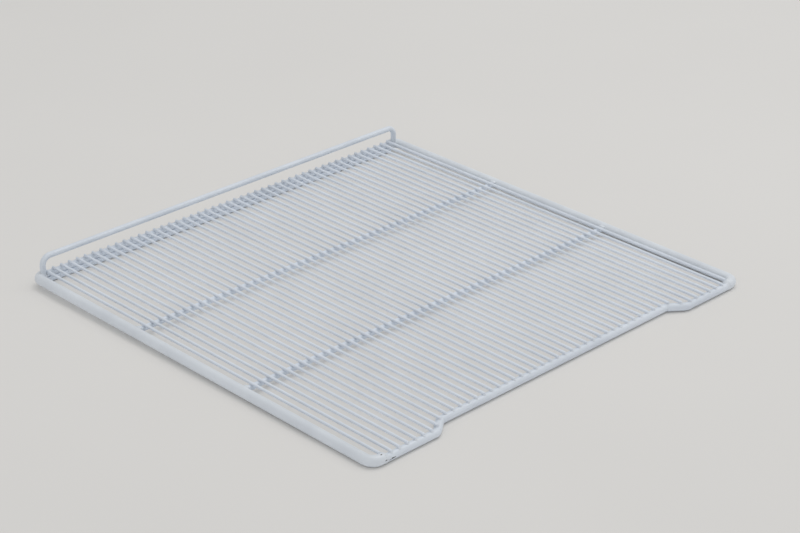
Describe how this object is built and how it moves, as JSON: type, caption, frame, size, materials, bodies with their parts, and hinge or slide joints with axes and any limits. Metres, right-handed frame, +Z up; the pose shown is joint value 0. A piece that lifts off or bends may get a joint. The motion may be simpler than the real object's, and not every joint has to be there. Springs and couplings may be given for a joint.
{
  "type": "refrigerator shelf",
  "caption": "Welded wire shelf of coated steel rod: close parallel grid wires on two cross rods, thick side bars, notched front bar and a low guard rail at the rear.",
  "frame": {"origin": "bottom centre of the shelf: middle of its width and depth, at the height of the lower rear rod's underside", "axes": "+X across the shelf to the right seen from the front, +Y from the notched front edge to the guard rail at the rear, +Z up"},
  "size_m": [0.514, 0.505, 0.034],
  "materials": {
    "side_bar_coating": "smooth semi-gloss coating",
    "rod_coating": "smooth semi-gloss coating",
    "wire_coating": "smooth semi-gloss coating"
  },
  "bodies": {
    "root": {"side_bar_left": "side_bar_coating", "side_bar_right": "side_bar_coating", "front_bar": "rod_coating", "rear_rod": "rod_coating", "lower_rear_rod": "rod_coating", "front_cross_rod": "rod_coating", "rear_cross_rod": "rod_coating", "guard_rail": "rod_coating", "grid_wire_01": "wire_coating", "grid_wire_02": "wire_coating", "grid_wire_03": "wire_coating", "grid_wire_04": "wire_coating", "grid_wire_05": "wire_coating", "grid_wire_06": "wire_coating", "grid_wire_07": "wire_coating", "grid_wire_08": "wire_coating", "grid_wire_09": "wire_coating", "grid_wire_10": "wire_coating", "grid_wire_11": "wire_coating", "grid_wire_12": "wire_coating", "grid_wire_13": "wire_coating", "grid_wire_14": "wire_coating", "grid_wire_15": "wire_coating", "grid_wire_16": "wire_coating", "grid_wire_17": "wire_coating", "grid_wire_18": "wire_coating", "grid_wire_19": "wire_coating", "grid_wire_20": "wire_coating", "grid_wire_21": "wire_coating", "grid_wire_22": "wire_coating", "grid_wire_23": "wire_coating", "grid_wire_24": "wire_coating", "grid_wire_25": "wire_coating", "grid_wire_26": "wire_coating", "grid_wire_27": "wire_coating", "grid_wire_28": "wire_coating", "grid_wire_29": "wire_coating", "grid_wire_30": "wire_coating", "grid_wire_31": "wire_coating", "grid_wire_32": "wire_coating", "grid_wire_33": "wire_coating", "grid_wire_34": "wire_coating", "grid_wire_35": "wire_coating", "grid_wire_36": "wire_coating", "grid_wire_37": "wire_coating", "grid_wire_38": "wire_coating", "grid_wire_39": "wire_coating", "grid_wire_40": "wire_coating", "grid_wire_41": "wire_coating", "grid_wire_42": "wire_coating", "grid_wire_43": "wire_coating", "grid_wire_44": "wire_coating", "grid_wire_45": "wire_coating", "grid_wire_46": "wire_coating", "grid_wire_47": "wire_coating", "grid_wire_48": "wire_coating", "grid_wire_49": "wire_coating"}
  },
  "joints": []
}
